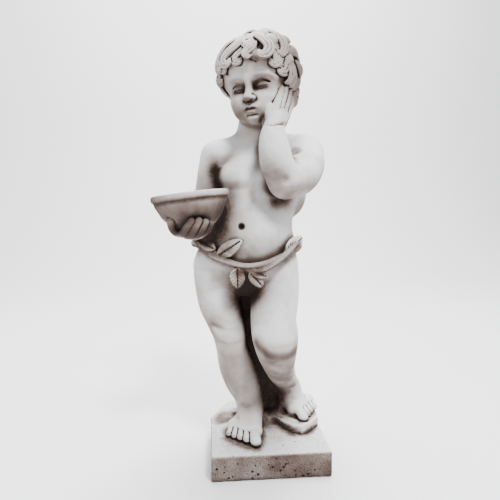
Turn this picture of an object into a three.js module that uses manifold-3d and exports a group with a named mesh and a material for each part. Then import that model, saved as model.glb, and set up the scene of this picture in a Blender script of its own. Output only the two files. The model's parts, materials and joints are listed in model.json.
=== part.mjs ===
// A cast-stone garden statue: a standing cherub with a bowl, on a low plinth, cast as one piece.
// Millimetres, +Z up. The origin is the middle of the plinth's underside; the figure faces -Y,
// and +X is the figure's own left. Every limb is a loft through stations [x, y, z, radius].
import * as THREE from "three";
import { mergeVertices } from "three/addons/utils/BufferGeometryUtils.js";
import Module from "manifold-3d";

const wasm = await Module();
wasm.setup();
const { Vector3, Matrix4, Euler } = THREE;

// ---- driving dimensions ----
const PLINTH = { width: 204, depth: 218, height: 45, draft: 2, cornerRadius: 9, backCutX: 36, backCutY: 70 };
const BOWL = { centre: [-133, -84, 476], rimRadius: 64, height: 60, band: 12, wall: 8, lean: 7, hollow: 36 };
const HEAD = { centre: [-9.5, -17, 673], turn: -29, nod: 11, lean: -4 };
const HAIR = { x: 72, y: 79, z: 71, centreX: -4, centreY: 6, centreZ: 14, curl: 0.085 };
const VINE_RADIUS = 6;
const VINE_TURNS = 2;

// Places along the body, named once and used by the pieces that meet there.
const HIP_RIGHT = [-85, 2, 345];
const HIP_LEFT = [14, -4, 345];
const ANKLE_RIGHT = [-28, 4, 84];
const ANKLE_LEFT = [50, 34, 104];
const SHOULDER_RIGHT = [-88, 0, 548];
const SHOULDER_LEFT = [72, -2, 552];
const ELBOW_RIGHT = [-110, 16, 446];
const ELBOW_LEFT = [21, -77, 497];
const WRIST_RIGHT = [-124, -54, 424];
const WRIST_LEFT = [4, -79, 582];

const radians = THREE.MathUtils.degToRad;
const vector = (p) => new Vector3(...p);

// ---- solids from three.js geometry ----
function solid(geometry) {
  const bare = geometry.clone();
  bare.deleteAttribute("normal");
  bare.deleteAttribute("uv");
  const merged = mergeVertices(bare, 1e-4);
  return new wasm.Manifold(
    new wasm.Mesh({
      numProp: 3,
      vertProperties: new Float32Array(merged.attributes.position.array),
      triVerts: new Uint32Array(merged.index.array),
    }),
  );
}

function join(solids) {
  return solids.reduce((whole, next) => whole.add(next));
}

function placed(geometry, centre, turn = [0, 0, 0]) {
  const matrix = new Matrix4().makeRotationFromEuler(new Euler(...turn.map(radians), "ZYX"));
  return geometry.applyMatrix4(matrix.setPosition(...centre));
}

// An ellipsoid with half-sizes radii, turned by angles in degrees.
function ball(centre, radii, turn = [0, 0, 0], detail = 7) {
  const sphere = new THREE.SphereGeometry(1, detail, Math.round(detail * 0.7));
  return solid(placed(sphere.scale(...radii), centre, turn));
}

// Rings of points, closed at both ends by a point, as one closed mesh.
function skin(rings, first, last) {
  const sides = rings[0].length;
  const points = [first, ...rings.flat(), last];
  const index = [];
  const at = (ring, side) => 1 + ring * sides + (side % sides);
  for (let side = 0; side < sides; side++) {
    index.push(0, at(0, side + 1), at(0, side));
    index.push(points.length - 1, at(rings.length - 1, side), at(rings.length - 1, side + 1));
    for (let ring = 0; ring < rings.length - 1; ring++) {
      const [a, b] = [at(ring, side), at(ring, side + 1)];
      const [c, d] = [at(ring + 1, side + 1), at(ring + 1, side)];
      index.push(a, b, c, a, c, d);
    }
  }
  const geometry = new THREE.BufferGeometry().setFromPoints(points);
  geometry.setIndex(index);
  return solid(geometry);
}

// A round-ended limb through stations [x, y, z, radius].
function limb(stations, sides = 12, steps = 2) {
  const centres = new THREE.CatmullRomCurve3(stations.map(([x, y, z]) => new Vector3(x, y, z)));
  const radii = new THREE.CatmullRomCurve3(stations.map((s) => new Vector3(s[3], 0, 0)));
  const count = (stations.length - 1) * steps;
  const rings = [];
  let across = new Vector3(1, 0.2, 0.1);
  const ring = (centre, along, radius) => {
    across = across.clone().addScaledVector(along, -across.dot(along)).normalize();
    const other = along.clone().cross(across);
    return Array.from({ length: sides }, (_, side) => {
      const angle = (side / sides) * 2 * Math.PI;
      return centre.clone()
        .addScaledVector(across, radius * Math.cos(angle))
        .addScaledVector(other, radius * Math.sin(angle));
    });
  };
  const cap = (t, sign, bend) => {
    const along = centres.getTangent(t);
    const radius = radii.getPoint(t).x;
    const centre = centres.getPoint(t).addScaledVector(along, sign * radius * Math.sin(bend));
    return bend < Math.PI / 2 ? ring(centre, along, radius * Math.cos(bend)) : centre;
  };
  const rounded = sides > 6;
  if (rounded) rings.push(cap(0, -1, Math.PI / 4));
  for (let i = 0; i <= count; i++) {
    const t = i / count;
    rings.push(ring(centres.getPoint(t), centres.getTangent(t), radii.getPoint(t).x));
  }
  if (rounded) rings.push(cap(1, 1, Math.PI / 4));
  return skin(rings, cap(0, -1, Math.PI / 2), cap(1, 1, Math.PI / 2));
}

// A stack of level ellipses [z, centre x, centre y, half-width, half-depth].
function stack(sections, sides = 13) {
  const rings = sections.map(([z, x, y, width, depth]) =>
    Array.from({ length: sides }, (_, side) => {
      const angle = (side / sides) * 2 * Math.PI;
      return new Vector3(x + width * Math.cos(angle), y + depth * Math.sin(angle), z);
    }),
  );
  const end = ([z, x, y]) => new Vector3(x, y, z);
  return skin(rings, end(sections[0]), end(sections.at(-1)));
}

// ---- plinth, with its rock slab and the support behind the legs ----
function plinth() {
  const { width, depth, height, draft, cornerRadius: r, backCutX, backCutY } = PLINTH;
  const [x, y] = [width / 2, depth / 2];
  const outline = new THREE.Shape();
  outline.moveTo(-x + r, -y);
  outline.lineTo(x - r, -y);
  outline.absarc(x - r, -y + r, r, -Math.PI / 2, 0);
  outline.lineTo(x, y - backCutY);
  outline.lineTo(x - backCutX, y);
  outline.lineTo(-x + backCutX, y);
  outline.lineTo(-x, y - backCutY);
  outline.lineTo(-x, -y + r);
  outline.absarc(-x + r, -y + r, r, Math.PI, 1.5 * Math.PI);
  const block = new THREE.ExtrudeGeometry(outline, {
    depth: height - 2 * draft, bevelThickness: draft, bevelSize: draft, bevelOffset: -draft,
    bevelSegments: 1, curveSegments: 4,
  });
  return solid(block.translate(0, 0, draft));
}

function rockSlab() {
  const outline = new THREE.Shape();
  outline.moveTo(0, 76);
  outline.lineTo(14, 12);
  outline.lineTo(44, -38);
  outline.quadraticCurveTo(54, -49, 70, -44);
  outline.lineTo(98, -18);
  outline.lineTo(99, 34);
  outline.lineTo(66, 92);
  outline.lineTo(20, 98);
  const slab = new THREE.ExtrudeGeometry(outline, {
    depth: 16, bevelThickness: 4, bevelSize: 4, bevelOffset: -4, bevelSegments: 1, curveSegments: 4,
  });
  return solid(placed(slab, [0, 0, 38], [-2, 1, 0]));
}

function support() {
  return limb([[14, 54, 40, 40], [12, 50, 90, 33], [2, 42, 150, 29], [-14, 34, 210, 28], [-28, 26, 270, 27],
    [-34, 18, 320, 28]], 9, 1);
}

// ---- legs and feet ----
const RIGHT_LEG = [[...HIP_RIGHT, 47], [-88, 0, 312, 41], [-84, -4, 280, 38], [-75, -9, 248, 33],
  [-67, -12, 220, 28], [-62, -8, 192, 28], [-53, 2, 162, 33], [-42, 6, 132, 33], [-32, 6, 106, 28],
  [...ANKLE_RIGHT, 24]];
const LEFT_LEG = [[...HIP_LEFT, 46], [18, -14, 312, 42], [13, -30, 284, 42], [9, -47, 254, 40],
  [11, -56, 230, 40],
  [15, -48, 204, 36], [21, -30, 176, 30], [32, -8, 148, 26], [43, 12, 124, 23], [...ANKLE_LEFT, 22]];

// A foot: heel and instep run out to the ball of the foot, which carries five toes, big one first.
function foot({ ankle, heel, roots, tips, floor }) {
  const [bigRoot, smallRoot] = roots.map((p) => vector([...p, floor + 13]));
  const [bigTip, smallTip] = tips.map((p) => vector([...p, floor]));
  const middle = bigRoot.clone().lerp(smallRoot, 0.4);
  const instep = [(ankle[0] + middle.x) / 2, (ankle[1] + middle.y) / 2, floor + 27, 19];
  const pieces = [
    limb([[...heel, floor + 19, 20], [...bigRoot, 14]], 7, 1),
    limb([[...heel, floor + 17, 18], [...smallRoot, 12]], 7, 1),
    limb([[...ankle, 22], instep, [...middle, 15]], 7, 1),
    limb([[...bigRoot, 14], [...smallRoot, 11]], 6, 1),
  ];
  [0, 0.32, 0.56, 0.78, 1].forEach((share, toe) => {
    const radius = [9.5, 7.5, 7, 6.4, 5.8][toe];
    const root = bigRoot.clone().lerp(smallRoot, share);
    const tip = bigTip.clone().lerp(smallTip, share);
    pieces.push(limb([[...root, radius + 1.5], [tip.x, tip.y, floor + radius, radius]], 5, 1));
  });
  return join(pieces);
}

const RIGHT_FOOT = { ankle: ANKLE_RIGHT, heel: [-24, 16], roots: [[-26, -54], [-60, -26]],
  tips: [[-25, -80], [-69, -42]], floor: 44 };
const LEFT_FOOT = { ankle: ANKLE_LEFT, heel: [42, 56], roots: [[60, 0], [94, 43]],
  tips: [[69, -23], [103, 26]], floor: 55 };

// ---- torso ----
function torso() {
  return join([
    stack([[292, -36, 4, 40, 30], [312, -36, 2, 74, 48], [336, -36, 0, 88, 56], [362, -35, -1, 92, 59],
      [394, -32, -3, 85, 59], [424, -24, -5, 72, 57], [452, -19, -3, 71, 54], [486, -18, 0, 74, 52],
      [516, -18, 2, 74, 48], [540, -19, 3, 66, 41], [558, -21, 3, 48, 33], [574, -23, 1, 32, 28]]),
    ball([-30, -16, 412], [58, 50, 52]),
    ball([-52, -24, 503], [32, 26, 24]),
    ball([-76, 24, 338], [42, 38, 42]),
    ball([6, 22, 338], [44, 38, 42]),
    ball([50, 14, 488], [28, 30, 46]),
    limb([[-24, 4, 560, 30], [-24, -4, 584, 29], [-20, -10, 616, 30]], 10, 1),
    limb([[...SHOULDER_RIGHT, 24], [-52, 4, 562, 22], [-20, 4, 570, 22], [34, 4, 568, 24],
      [...SHOULDER_LEFT, 30]], 8, 1),
  ]);
}

// ---- arms and hands ----
const RIGHT_ARM = [[...SHOULDER_RIGHT, 25], [-96, 2, 526, 23], [-102, 7, 496, 22], [-107, 13, 468, 22],
  [...ELBOW_RIGHT, 22], [-114, -8, 438, 21], [-120, -34, 430, 19], [...WRIST_RIGHT, 17]];
const LEFT_ARM = [[...SHOULDER_LEFT, 33], [66, -26, 528, 35], [50, -54, 507, 33], [...ELBOW_LEFT, 27],
  [10, -84, 521, 27], [4, -86, 546, 25], [1, -82, 566, 21], [...WRIST_LEFT, 18]];

const RIGHT_FINGERS = [
  [[-145, -90, 415, 9], [-141, -112, 414, 7], [-135, -125, 422, 6.5], [-128, -132, 432, 5.5]],
  [[-137, -92, 411, 9], [-131, -114, 411, 7], [-124, -127, 421, 6.5], [-117, -133, 433, 5.5]],
  [[-128, -92, 410, 9], [-120, -112, 411, 7], [-113, -124, 420, 6.5], [-107, -130, 431, 5.5]],
  [[-119, -88, 412, 8], [-111, -106, 413, 6], [-105, -116, 419, 6], [-99, -122, 428, 5]],
];
const RIGHT_THUMB = [[-138, -66, 416, 13], [-151, -86, 414, 9], [-158, -104, 420, 7.5], [-161, -117, 431, 6]];
const LEFT_FINGERS = [
  [[6, -76, 610, 8], [10, -75, 625, 7], [15, -70, 639, 6], [18, -63, 650, 5]],
  [[13, -72, 612, 8], [18, -70, 628, 7], [23, -64, 642, 6], [26, -57, 653, 5]],
  [[20, -67, 610, 8], [26, -63, 625, 7], [31, -56, 639, 6], [34, -49, 650, 5]],
  [[26, -61, 604, 7.5], [32, -55, 617, 6.5], [37, -48, 629, 6], [40, -41, 639, 5]],
];
const LEFT_THUMB = [[3, -72, 592, 11], [-2, -74, 604, 8], [-1, -74, 616, 7]];

function hands() {
  return join([
    ball([-131, -76, 413], [24, 30, 13], [4, 8, 0]),
    ...[...RIGHT_FINGERS, RIGHT_THUMB].map((path) => limb(path, 5, 1)),
    limb([[...WRIST_LEFT, 17], [8, -75, 594, 16.5], [14, -68, 608, 14]], 8, 1),
    ball([14, -70, 602], [18, 12, 19], [-8, 12, 28]),
    ...[...LEFT_FINGERS, LEFT_THUMB].map((path) => limb(path, 5, 1)),
  ]);
}

// The stone left between the bowl, the forearm and the hip, between the upper arm and the side, under
// the chin behind the raised hand, and between the legs.
function webs() {
  return join([
    ball([-106, -22, 418], [24, 48, 32]),
    ball([-98, -20, 398], [22, 34, 26]),
    ball([-88, 8, 486], [20, 24, 46]),
    ball([-94, -48, 452], [22, 34, 26]),
    ball([8, -50, 548], [22, 24, 40]),
    ball([-2, -50, 590], [20, 26, 24]),
    limb([[10, 20, 84, 20], [-2, 18, 130, 19], [-18, 12, 190, 19], [-30, 6, 250, 18]], 7, 1),
  ]);
}

// ---- bowl: the outside is joined on, and the hollow is cut out of everything at the end ----
function bowlPart(profile) {
  const outline = profile.map(([radius, height]) => new THREE.Vector2(radius, height));
  const body = new THREE.LatheGeometry(outline, 22).rotateX(Math.PI / 2);
  return solid(placed(body, BOWL.centre, [0, -BOWL.lean, 0]));
}

function bowlOutside() {
  const { rimRadius: r, height: h, band } = BOWL;
  return bowlPart([[0, -h], [r * 0.3, -h], [r * 0.55, -h * 0.78], [r * 0.8, -h * 0.48], [r * 0.93, -band - 2],
    [r - 1, -band], [r, -band / 2], [r - 1, 0], [0, 0]]);
}

function bowlHollow() {
  const { rimRadius, wall, hollow } = BOWL;
  const r = rimRadius - wall;
  return bowlPart([[0, -hollow], [r * 0.45, -hollow * 0.93], [r * 0.78, -hollow * 0.62],
    [r * 0.96, -hollow * 0.2], [r, 0], [r + 1, 14], [0, 14]]);
}

// ---- head ----
const headTurn = [HEAD.nod, HEAD.lean, HEAD.turn];
const headMatrix = new Matrix4()
  .makeRotationFromEuler(new Euler(...headTurn.map(radians), "ZYX"))
  .setPosition(...HEAD.centre);
// A place in the head's own frame (x to its left, y to its back, z to its crown) in the statue's frame.
const onHead = (x, y, z) => vector([x, y, z]).applyMatrix4(headMatrix).toArray();
const headBall = (x, y, z, radii, detail = 7) => ball(onHead(x, y, z), radii, headTurn, detail);
const headLimb = (stations, sides = 5) =>
  limb(stations.map(([x, y, z, r]) => [...onHead(x, y, z), r]), sides, 1);

function face() {
  const pair = (make) => [make(1), make(-1)];
  return join([
    headBall(0, 6, 14, [60, 68, 60]),
    headBall(0, -34, 24, [42, 29, 32]),
    headBall(0, -16, -17, [46, 49, 49]),
    headBall(0, -30, -46, [37, 32, 23]),
    headBall(0, -56, -62, [12, 10, 9], 6),
    headBall(0, -56, -47, [15, 12, 12], 6),
    headLimb([[0, -60, 1, 5], [0, -62, -12, 5], [0, -73, -29, 7]]),
    headLimb([[-10, -62, -47, 3], [0, -66, -46, 5], [10, -62, -47, 3]], 4),
    headLimb([[-8, -62, -52, 3], [0, -65, -52, 5], [8, -62, -52, 3]], 4),
    ...pair((s) => headBall(s * 23, -40, -33, [21, 22, 20])),
    ...pair((s) => headBall(s * 20.5, -47, -15, [14, 13, 12], 6)),
    headLimb([[-7, -66, -32, 4], [0, -70, -32, 5], [7, -66, -32, 4]], 4),
    ...pair((s) => headLimb([[s * 8, -60, 0, 4], [s * 20, -60, 3, 5], [s * 36, -47, 0, 4]], 4)),
  ]);
}

// The hair: a cap over the skull, swollen and pinched into curls, and drawn in under the face.
function hair() {
  const { x, y, z, centreX, centreY, centreZ, curl } = HAIR;
  const cap = new THREE.SphereGeometry(1, 21, 13).rotateX(Math.PI / 2);
  const places = cap.attributes.position;
  const point = new Vector3();
  for (let i = 0; i < places.count; i++) {
    point.fromBufferAttribute(places, i).normalize();
    const longitude = Math.atan2(point.y, point.x);
    const latitude = Math.asin(THREE.MathUtils.clamp(point.z, -1, 1));
    const round = Math.sin(5 * longitude + 2.4 * Math.sin(3 * latitude));
    const swirl = round * Math.cos(6.5 * latitude + Math.sin(4 * longitude));
    const front = THREE.MathUtils.smoothstep(-point.y - 0.9 * point.z, 0.35, 0.75);
    const under = THREE.MathUtils.smoothstep(-point.z, 0.6, 0.95);
    const swell = (1 + curl * swirl * Math.cos(latitude)) * (1 - 0.25 * front) * (1 - 0.1 * under);
    point.multiplyScalar(swell);
    places.setXYZ(i, point.x * x + centreX, point.y * y + centreY, point.z * z + centreZ);
  }
  const nape = headBall(7, 21, -24, [52, 45, 40]);
  return solid(cap.applyMatrix4(headMatrix)).add(nape);
}

// Loose locks over the brow and at the left temple.
function locks() {
  return join([
    headLimb([[-14, -54, 56, 8], [-38, -58, 44, 9], [-52, -50, 26, 9], [-42, -58, 18, 6]], 5),
    headLimb([[6, -58, 50, 8], [-12, -66, 40, 9], [-18, -68, 28, 6]], 5),
    headLimb([[12, -56, 50, 8], [32, -58, 42, 9], [26, -65, 30, 6]], 5),
    headLimb([[44, -40, 42, 8], [58, -36, 22, 9], [52, -38, 0, 6]], 5),
  ]);
}

// ---- the vine round the hips, with its leaves ----
const VINE_PATH = [[-127, 2, 390], [-113, -32, 385], [-92, -53, 372], [-64, -66, 360], [-37, -70, 352],
  [-12, -69, 354], [14, -62, 366], [38, -46, 380], [58, -10, 389], [50, 32, 386], [14, 58, 378],
  [-36, 66, 374], [-86, 58, 378], [-120, 34, 386]];

function vine() {
  const path = new THREE.CatmullRomCurve3(VINE_PATH.map(vector), true);
  const strand = (phase) => {
    const count = 14;
    const stations = Array.from({ length: count + 1 }, (_, i) => {
      const t = i / count;
      const turn = 2 * Math.PI * (VINE_TURNS * t + phase);
      const centre = path.getPoint(t % 1);
      const outward = centre.clone().sub(new Vector3(-35, 0, centre.z)).normalize();
      centre.addScaledVector(outward, 2 + 2 * Math.cos(turn)).z += 5 * Math.sin(turn);
      return [...centre, VINE_RADIUS];
    });
    return limb(stations, 4, 1);
  };
  return join([strand(0), strand(0.5)]);
}

// An almond-shaped leaf from its stem end to its tip, lying against the body.
function leaf(stem, tip, width, outward) {
  const [from, to] = [vector(stem), vector(tip)];
  const length = from.distanceTo(to);
  const almond = [[0, 0], [0.34, 0.14], [0.5, 0.4], [0.38, 0.72], [0, 1]];
  const shape = new THREE.LatheGeometry(almond.map(([r, l]) => new THREE.Vector2(r * width, l * length)), 6);
  const along = to.clone().sub(from).normalize();
  const side = along.clone().cross(vector(outward)).normalize();
  const basis = new Matrix4().makeBasis(side, along, side.clone().cross(along));
  return solid(shape.scale(1, 1, 8 / width).applyMatrix4(basis.setPosition(from)));
}

function leaves() {
  return join([
    leaf([-88, -59, 371], [-47, -70, 399], 27, [-0.3, -1, 0.1]),
    leaf([-93, -59, 383], [-118, -39, 398], 20, [-0.6, -0.8, 0.3]),
    leaf([-56, -71, 353], [-55, -65, 318], 27, [0, -1, 0.1]),
    leaf([-34, -72, 347], [-12, -66, 320], 24, [0.1, -1, 0]),
    leaf([28, -56, 377], [60, -20, 400], 28, [0.7, -0.7, 0.1]),
    leaf([30, 56, 384], [52, 46, 348], 32, [0.5, 0.8, 0]),
    leaf([-10, 70, 378], [-4, 67, 326], 40, [0, 1, 0]),
    leaf([-44, 73, 376], [-38, 72, 314], 44, [0, 1, 0]),
    leaf([-74, 69, 378], [-80, 68, 326], 40, [-0.1, 1, 0]),
    leaf([-102, 51, 384], [-122, 39, 348], 32, [-0.5, 0.8, 0]),
  ]);
}

// ---- the casting ----
const casting = join([
  plinth(), rockSlab(), support(),
  limb(RIGHT_LEG, 10, 1), limb(LEFT_LEG, 10, 1), foot(RIGHT_FOOT), foot(LEFT_FOOT),
  torso(), limb(RIGHT_ARM, 9, 1), limb(LEFT_ARM, 9, 1), hands(), webs(), bowlOutside(),
  face(), hair(), locks(), vine(), leaves(),
]).subtract(bowlHollow());

function meshOf(manifold, name, material) {
  const { numProp, numVert, vertProperties, triVerts } = manifold.getMesh();
  const positions = new Float32Array(numVert * 3);
  for (let i = 0; i < numVert; i++) {
    positions.set(vertProperties.subarray(i * numProp, i * numProp + 3), i * 3);
  }
  const geometry = new THREE.BufferGeometry();
  geometry.setAttribute("position", new THREE.BufferAttribute(positions, 3));
  geometry.setIndex(new THREE.BufferAttribute(new Uint32Array(triVerts), 1));
  const mesh = new THREE.Mesh(geometry, material);
  mesh.name = name;
  return mesh;
}

const castStone = new THREE.MeshStandardMaterial({ color: 0xc9c6c2, roughness: 0.9, metalness: 0 });
const statue = new THREE.Group();
statue.add(meshOf(casting, "cherub_statue", castStone));
export default statue;
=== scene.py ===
"""A cast-stone garden cherub: the carved surface, its weathered stone with painted shade in its hollows and
on its undersides, and a plain studio round it.
"""

import json
import math

import bpy
import numpy as np
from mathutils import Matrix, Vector

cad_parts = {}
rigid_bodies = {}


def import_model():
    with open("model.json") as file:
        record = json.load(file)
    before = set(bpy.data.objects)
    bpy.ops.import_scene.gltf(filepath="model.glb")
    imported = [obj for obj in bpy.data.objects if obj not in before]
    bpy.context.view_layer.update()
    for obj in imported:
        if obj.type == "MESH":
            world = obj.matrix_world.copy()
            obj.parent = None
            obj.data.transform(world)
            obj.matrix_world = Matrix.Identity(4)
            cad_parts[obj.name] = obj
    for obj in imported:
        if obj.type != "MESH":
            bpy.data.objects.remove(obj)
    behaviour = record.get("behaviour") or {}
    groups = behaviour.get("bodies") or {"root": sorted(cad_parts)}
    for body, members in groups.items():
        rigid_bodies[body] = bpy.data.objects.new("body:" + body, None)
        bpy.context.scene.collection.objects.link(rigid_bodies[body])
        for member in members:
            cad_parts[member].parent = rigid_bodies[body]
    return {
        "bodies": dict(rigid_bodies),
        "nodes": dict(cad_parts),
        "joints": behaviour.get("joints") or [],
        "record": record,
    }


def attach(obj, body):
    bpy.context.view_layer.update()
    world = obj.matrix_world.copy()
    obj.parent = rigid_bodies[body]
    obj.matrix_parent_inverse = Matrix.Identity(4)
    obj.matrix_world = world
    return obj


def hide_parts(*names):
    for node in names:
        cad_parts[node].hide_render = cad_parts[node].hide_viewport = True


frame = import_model()

# The carving is in millimetres, and the finished mesh in metres.
LOW, HIGH = (-198, -150, -3), (114, 112, 768)
STEP, MOST_TRIANGLES = 1.3, 190000
QUICK_STEP, QUICK_TRIANGLES = 2.6, 60000
FAR = 30.0
MARGIN = 3
CORNERS = [(i, j, k) for i in (0, 1) for j in (0, 1) for k in (0, 1)]

# ---- the clay ----
# A block of signed distances, in millimetres: negative inside the stone. Each tool below touches only
# the cells near its own shape.


def single(values):
    return np.asarray(values, np.float32)


def into(grid, centre, frame):
    """The grid's places in a turned frame about a centre."""
    return (grid - single(centre)) @ single(frame)


def box_corners(x, y, z, centre, frame):
    """The lowest and highest reach of a turned box with the given ends along each axis."""
    corners = np.array([(a, b, c) for a in x for b in y for c in z]) @ frame.T + centre
    return corners.min(0), corners.max(0)


def along(axis, part):
    """An index that takes part of one axis and all of the other two."""
    index = [slice(None)] * 3
    index[axis] = part
    return tuple(index)


class Clay:
    def __init__(self, low, high, step):
        self.low = np.array(low, float)
        self.step = step
        self.shape = tuple(int(math.ceil((b - a) / step)) + 1 for a, b in zip(low, high))
        self.field = np.full(self.shape, FAR, np.float32)
        self.axes = [self.low[i] + step * np.arange(self.shape[i]) for i in range(3)]

    def window(self, low, high):
        """The slices and coordinates of the cells between two corners."""
        cut = []
        for i in range(3):
            first = max(int(math.floor((low[i] - self.low[i]) / self.step)), 0)
            last = min(int(math.ceil((high[i] - self.low[i]) / self.step)) + 1, self.shape[i])
            cut.append(slice(first, max(last, first)))
        x, y, z = (single(self.axes[i][cut[i]]) for i in range(3))
        grid = np.stack(np.meshgrid(x, y, z, indexing="ij"), -1)
        return tuple(cut), grid

    def add(self, shape, blend=3.0):
        self.change(shape, lambda old, new: smooth_min(old, new, blend), blend + MARGIN)

    def cut(self, shape, blend=3.0):
        self.change(shape, lambda old, new: -smooth_min(-old, new, blend), blend + MARGIN)

    def press(self, shape, depth, width):
        """A soft hollow, depth deep where the shape is and fading out over width."""
        def pressed(old, new):
            return old + depth * np.exp(-np.square(np.maximum(new, 0) / width))
        self.change(shape, pressed, 2.2 * width + 1)

    def change(self, shape, rule, margin):
        low, high = shape.bounds()
        cut, grid = self.window(low - margin, high + margin)
        if grid.size:
            self.field[cut] = rule(self.field[cut], single(shape.distance(grid)))


def smooth(clay, times):
    """Takes the facets out of what is there so far."""
    f = clay.field
    for _ in range(times):
        for axis in range(3):
            ahead, middle = along(axis, slice(2, None)), along(axis, slice(1, -1))
            behind = along(axis, slice(None, -2))
            f[middle] = 0.25 * (f[ahead] + f[behind]) + 0.5 * f[middle]


def smooth_min(a, b, blend):
    """The lesser of two distances, with a fillet blend wide."""
    if blend <= 0:
        return np.minimum(a, b)
    h = np.maximum(blend - np.abs(a - b), 0) / blend
    return np.minimum(a, b) - h * h * blend * 0.25


# ---- shapes ----


def curve(points, per_span=4):
    """A Catmull-Rom curve through the points, whatever their width (x, y, z or x, y, z, radius)."""
    p = np.array(points, float)
    if len(p) < 3:
        return p
    ends = np.vstack([2 * p[0] - p[1], p, 2 * p[-1] - p[-2]])
    made = []
    for i in range(len(p) - 1):
        a, b, c, d = ends[i : i + 4]
        for t in np.arange(per_span) / per_span:
            square, cube = 2 * a - 5 * b + 4 * c - d, 3 * b - a - 3 * c + d
            made.append(0.5 * (2 * b + (c - a) * t + square * t * t + cube * t**3))
    made.append(p[-1])
    return np.array(made)


class Tube:
    """A round limb through stations (x, y, z, radius)."""

    def __init__(self, stations, per_span=4):
        self.p = curve(stations, per_span)

    def bounds(self):
        r = self.p[:, 3:4]
        return (self.p[:, :3] - r).min(0), (self.p[:, :3] + r).max(0)

    def distance(self, grid):
        best = None
        for a, b in zip(self.p[:-1], self.p[1:]):
            way = b[:3] - a[:3]
            length = float(way @ way) + 1e-9
            away = grid - single(a[:3])
            t = np.clip(away @ single(way / length), 0, 1)
            gap = away - t[..., None] * single(way)
            d = np.sqrt(np.einsum("...i,...i", gap, gap)) - (a[3] + t * (b[3] - a[3]))
            best = d if best is None else np.minimum(best, d)
        return best


class Ball:
    """An ellipsoid with half-sizes radii in a turned frame."""

    def __init__(self, centre, radii, frame=None):
        self.c = np.array(centre, float)
        self.r = np.array(radii, float) * np.ones(3)
        self.f = np.eye(3) if frame is None else frame

    def bounds(self):
        reach = np.sqrt(((self.f * self.r) ** 2).sum(1))
        return self.c - reach, self.c + reach

    def distance(self, grid):
        q = into(grid, self.c, self.f)
        k0 = np.sqrt(np.square(q / single(self.r)).sum(-1))
        k1 = np.sqrt(np.square(q / single(self.r**2)).sum(-1)) + 1e-6
        return np.where(k0 < 0.05, -self.r.min(), k0 * (k0 - 1) / k1)


class Stack:
    """Level ellipses (z, centre x, centre y, half-width, half-depth), joined smoothly."""

    def __init__(self, sections):
        s = curve(sections, 6)
        self.s = s[np.argsort(s[:, 0])]

    def bounds(self):
        s = self.s
        return (
            np.array([(s[:, 1] - s[:, 3]).min(), (s[:, 2] - s[:, 4]).min(), s[0, 0]]),
            np.array([(s[:, 1] + s[:, 3]).max(), (s[:, 2] + s[:, 4]).max(), s[-1, 0]]),
        )

    def distance(self, grid):
        z = grid[0, 0, :, 2]
        x, y, w, d = (single(np.interp(z, self.s[:, 0], self.s[:, i])) for i in range(1, 5))
        u, v = np.abs(grid[..., 0] - x) / w, np.abs(grid[..., 1] - y) / d
        k0 = (u**2.0 + v**2.0) ** 0.5
        k1 = np.sqrt(np.square(u / w) + np.square(v / d)) / np.maximum(k0, 1e-3) + 1e-6
        side = np.where(k0 < 0.2, -np.minimum(w, d), (k0 - 1) / k1)
        over = np.maximum(grid[..., 2] - self.s[-1, 0], self.s[0, 0] - grid[..., 2])
        return np.where(over > 0, np.hypot(np.maximum(side, 0), over), np.maximum(side, over))


class Turned:
    """A lathe profile of (radius, height) points, closed on its axis, turned by frame."""

    def __init__(self, centre, profile, frame):
        self.c, self.f = np.array(centre, float), frame
        self.p = np.array(profile, float)

    def bounds(self):
        r, low, high = self.p[:, 0].max(), self.p[:, 1].min(), self.p[:, 1].max()
        return box_corners((-r, r), (-r, r), (low, high), self.c, self.f)

    def distance(self, grid):
        q = into(grid, self.c, self.f)
        x, y = np.hypot(q[..., 0], q[..., 1]), q[..., 2]
        return polygon_distance(x, y, self.p)


def polygon_distance(x, y, corners):
    """Signed distance to a closed polygon."""
    best, inside = None, np.zeros(x.shape, bool)
    for (ax, ay), (bx, by) in zip(corners, np.roll(corners, -1, 0)):
        dx, dy = bx - ax, by - ay
        t = np.clip(((x - ax) * dx + (y - ay) * dy) / (dx * dx + dy * dy + 1e-9), 0, 1)
        d = (x - ax - t * dx) ** 2 + (y - ay - t * dy) ** 2
        best = d if best is None else np.minimum(best, d)
        if abs(dy) > 1e-9:
            crosses = ((ay > y) != (by > y)) & (x < dx * (y - ay) / dy + ax)
            inside ^= crosses
    return np.where(inside, -1, 1) * np.sqrt(best)


class Slab:
    """An upright prism on a polygon, with rounded edges."""

    def __init__(self, corners, low, high, rounding, tilt=(0, 0)):
        self.p, self.z0, self.z1, self.r = np.array(corners, float), low, high, rounding
        self.tilt = tilt

    def bounds(self):
        (x0, y0), (x1, y1) = self.p.min(0), self.p.max(0)
        slack = 8 if any(self.tilt) else 0
        return np.array([x0, y0, self.z0 - slack]), np.array([x1, y1, self.z1 + slack])

    def distance(self, grid):
        x, y = grid[..., 0], grid[..., 1]
        middle = self.p.mean(0)
        z = grid[..., 2] - self.tilt[0] * (x - middle[0]) - self.tilt[1] * (y - middle[1])
        side = polygon_distance(x, y, self.p) + self.r
        level = np.abs(z - (self.z0 + self.z1) / 2) - (self.z1 - self.z0) / 2 + self.r
        outside = np.hypot(np.maximum(side, 0), np.maximum(level, 0))
        return outside + np.minimum(np.maximum(side, level), 0) - self.r


class Clipped:
    """A shape kept only on the side of a plane that the normal points away from."""

    def __init__(self, shape, point, normal):
        self.shape, self.point = shape, np.array(point, float)
        self.normal = np.array(normal, float) / np.linalg.norm(normal)

    def bounds(self):
        return self.shape.bounds()

    def distance(self, grid):
        plane = into(grid, self.point, self.normal)
        return np.maximum(self.shape.distance(grid), plane)


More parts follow.
